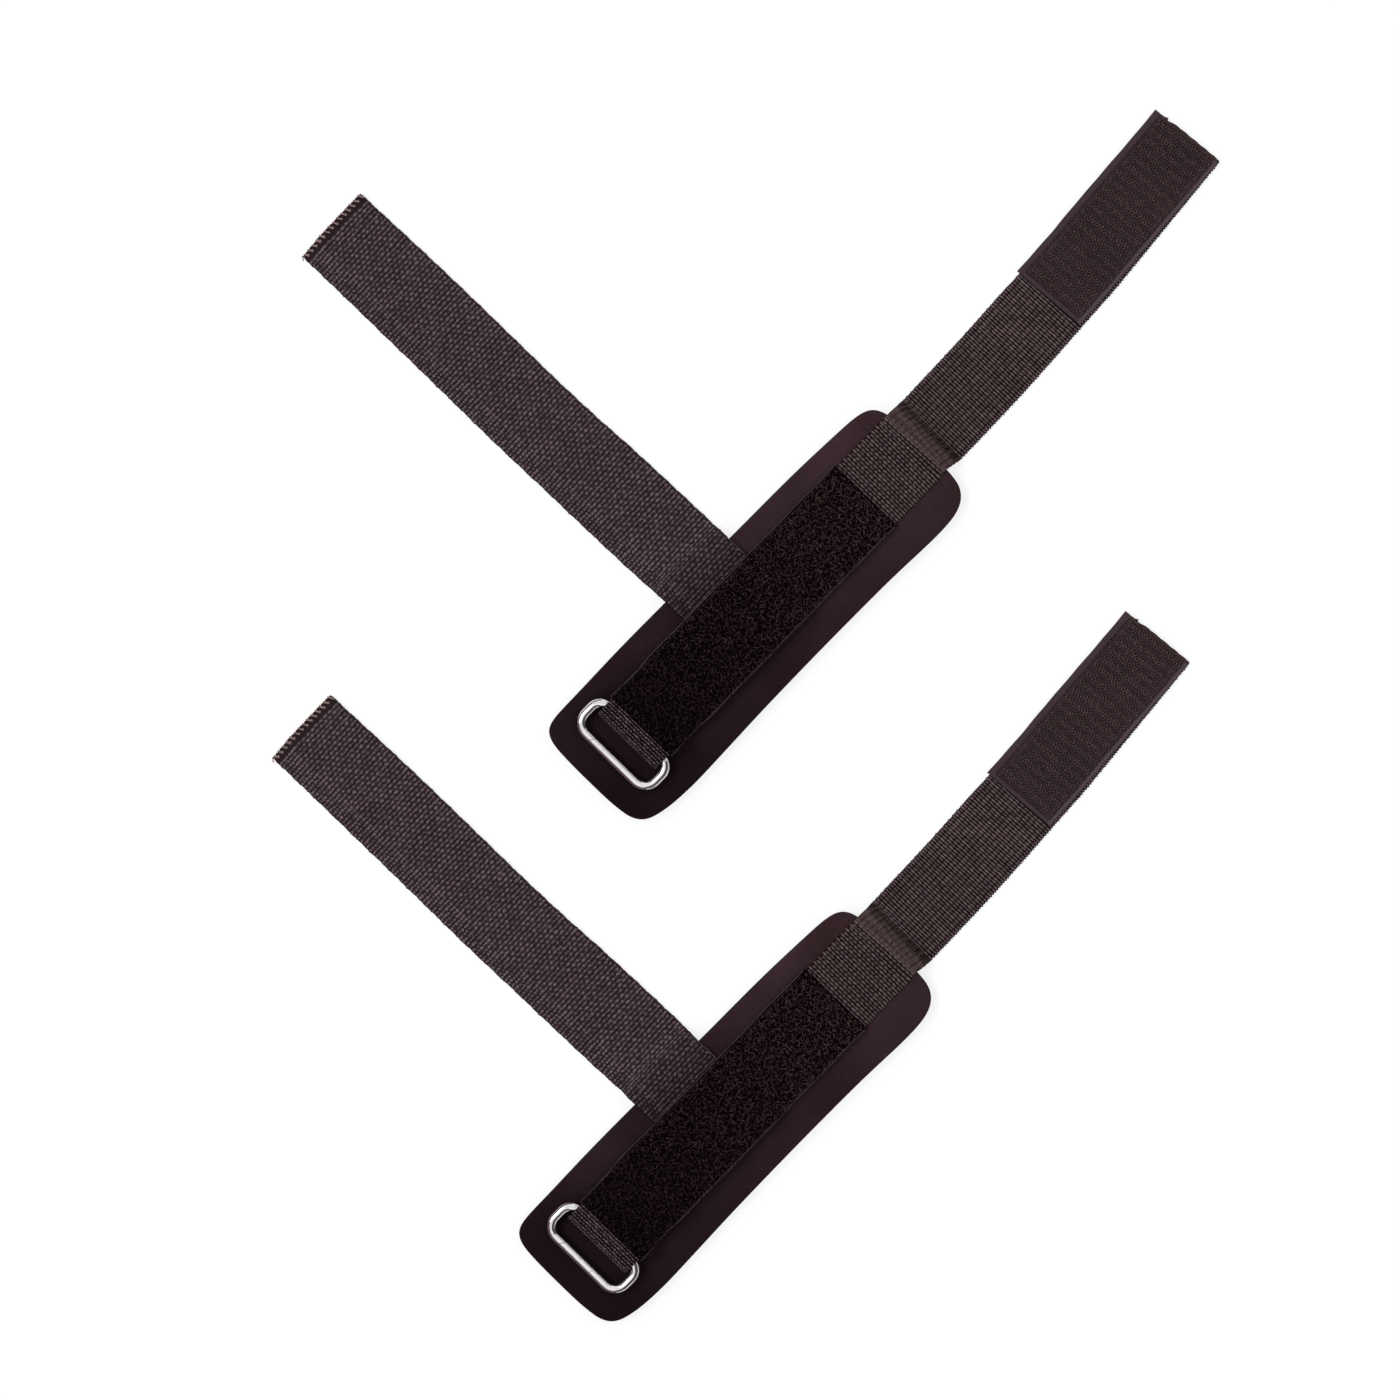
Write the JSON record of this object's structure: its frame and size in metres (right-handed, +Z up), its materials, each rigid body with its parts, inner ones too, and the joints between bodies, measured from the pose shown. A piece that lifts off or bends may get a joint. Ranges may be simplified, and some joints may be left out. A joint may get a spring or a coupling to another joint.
{
  "type": "padded wrist cuff with lifting strap",
  "caption": "Padded neoprene wrist cuffs, laid open: hook-and-loop webbing straps closing through metal rings, with coarse cotton lifting straps sewn across the pads.",
  "frame": {"origin": "on the table, under the middle of the whole set's footprint", "axes": "+X along the cuff straps from ring to hook end, +Y along the lifting straps away from the pads, +Z up"},
  "size_m": [0.5636, 0.4346, 0.0152],
  "materials": {
    "jersey": "matte knitted nylon jersey, black",
    "foam": "matte closed-cell foam, black",
    "nylon_webbing": "ribbed nylon webbing, brownish black",
    "cotton_webbing": "coarse plain-woven cotton, charcoal",
    "loop_pile": "fuzzy loop pile, black",
    "hook_tape": "nylon hook tape, brownish black",
    "plated_ring": "bright plated steel wire",
    "thread": "polyester sewing thread, dark brown"
  },
  "bodies": {
    "right_pad": {"right_pad_core": "foam", "right_pad_bottom_facing": "jersey", "right_pad_top_facing": "jersey", "right_cuff_webbing_fixed": "nylon_webbing", "right_loop_patch": "loop_pile", "right_lifting_strap_base": "cotton_webbing"},
    "right_ring": {"right_ring": "plated_ring"},
    "right_tail": {"right_cuff_webbing_tail": "nylon_webbing"},
    "right_hook_end": {"right_cuff_webbing_end": "nylon_webbing", "right_hook_patch": "hook_tape"},
    "right_lift_near": {"right_lifting_strap_near": "cotton_webbing"},
    "right_lift_far": {"right_lifting_strap_far": "cotton_webbing"},
    "left_pad": {"left_pad_core": "foam", "left_pad_bottom_facing": "jersey", "left_pad_top_facing": "jersey", "left_cuff_webbing_fixed": "nylon_webbing", "left_loop_patch": "loop_pile", "left_lifting_strap_base": "cotton_webbing"},
    "left_ring": {"left_ring": "plated_ring"},
    "left_tail": {"left_cuff_webbing_tail": "nylon_webbing"},
    "left_hook_end": {"left_cuff_webbing_end": "nylon_webbing", "left_hook_patch": "hook_tape"},
    "left_lift_near": {"left_lifting_strap_near": "cotton_webbing"},
    "left_lift_far": {"left_lifting_strap_far": "cotton_webbing"}
  },
  "joints": [
    {"name": "right_ring_swing", "type": "hinge", "parent": "right_pad", "child": "right_ring", "pos_m": [-0.08237, -0.03705, 0.0093], "axis": [0, 1, 0], "range_deg": [0, 150]},
    {"name": "right_tail_fold", "type": "hinge", "parent": "right_pad", "child": "right_tail", "pos_m": [0.09723, -0.03705, 0.0062], "axis": [0, -1, 0], "range_deg": [0, 85]},
    {"name": "right_hook_end_fold", "type": "hinge", "parent": "right_tail", "child": "right_hook_end", "pos_m": [0.17923, -0.03705, 0.0012], "axis": [0, -1, 0], "range_deg": [0, 110]},
    {"name": "right_lift_fold", "type": "hinge", "parent": "right_pad", "child": "right_lift_near", "pos_m": [-0.01327, -0.00625, 0.007], "axis": [1, 0, 0], "range_deg": [0, 90]},
    {"name": "right_lift_curl", "type": "hinge", "parent": "right_lift_near", "child": "right_lift_far", "pos_m": [-0.01327, 0.10525, 0.002], "axis": [1, 0, 0], "range_deg": [0, 90]},
    {"name": "left_ring_swing", "type": "hinge", "parent": "left_pad", "child": "left_ring", "pos_m": [-0.25137, -0.18305, 0.0093], "axis": [0, 1, 0], "range_deg": [0, 150]},
    {"name": "left_tail_fold", "type": "hinge", "parent": "left_pad", "child": "left_tail", "pos_m": [-0.07177, -0.18305, 0.0062], "axis": [0, -1, 0], "range_deg": [0, 85]},
    {"name": "left_hook_end_fold", "type": "hinge", "parent": "left_tail", "child": "left_hook_end", "pos_m": [0.01023, -0.18305, 0.0012], "axis": [0, -1, 0], "range_deg": [0, 110]},
    {"name": "left_lift_fold", "type": "hinge", "parent": "left_pad", "child": "left_lift_near", "pos_m": [-0.18227, -0.15225, 0.007], "axis": [1, 0, 0], "range_deg": [0, 90]},
    {"name": "left_lift_curl", "type": "hinge", "parent": "left_lift_near", "child": "left_lift_far", "pos_m": [-0.18227, -0.04075, 0.002], "axis": [1, 0, 0], "range_deg": [0, 90]},
    {"name": "left_cuff_lifts_away", "type": "slide", "parent": "right_pad", "child": "left_pad", "axis": [0, 0, 1], "range_m": [0, 0.15]}
  ]
}
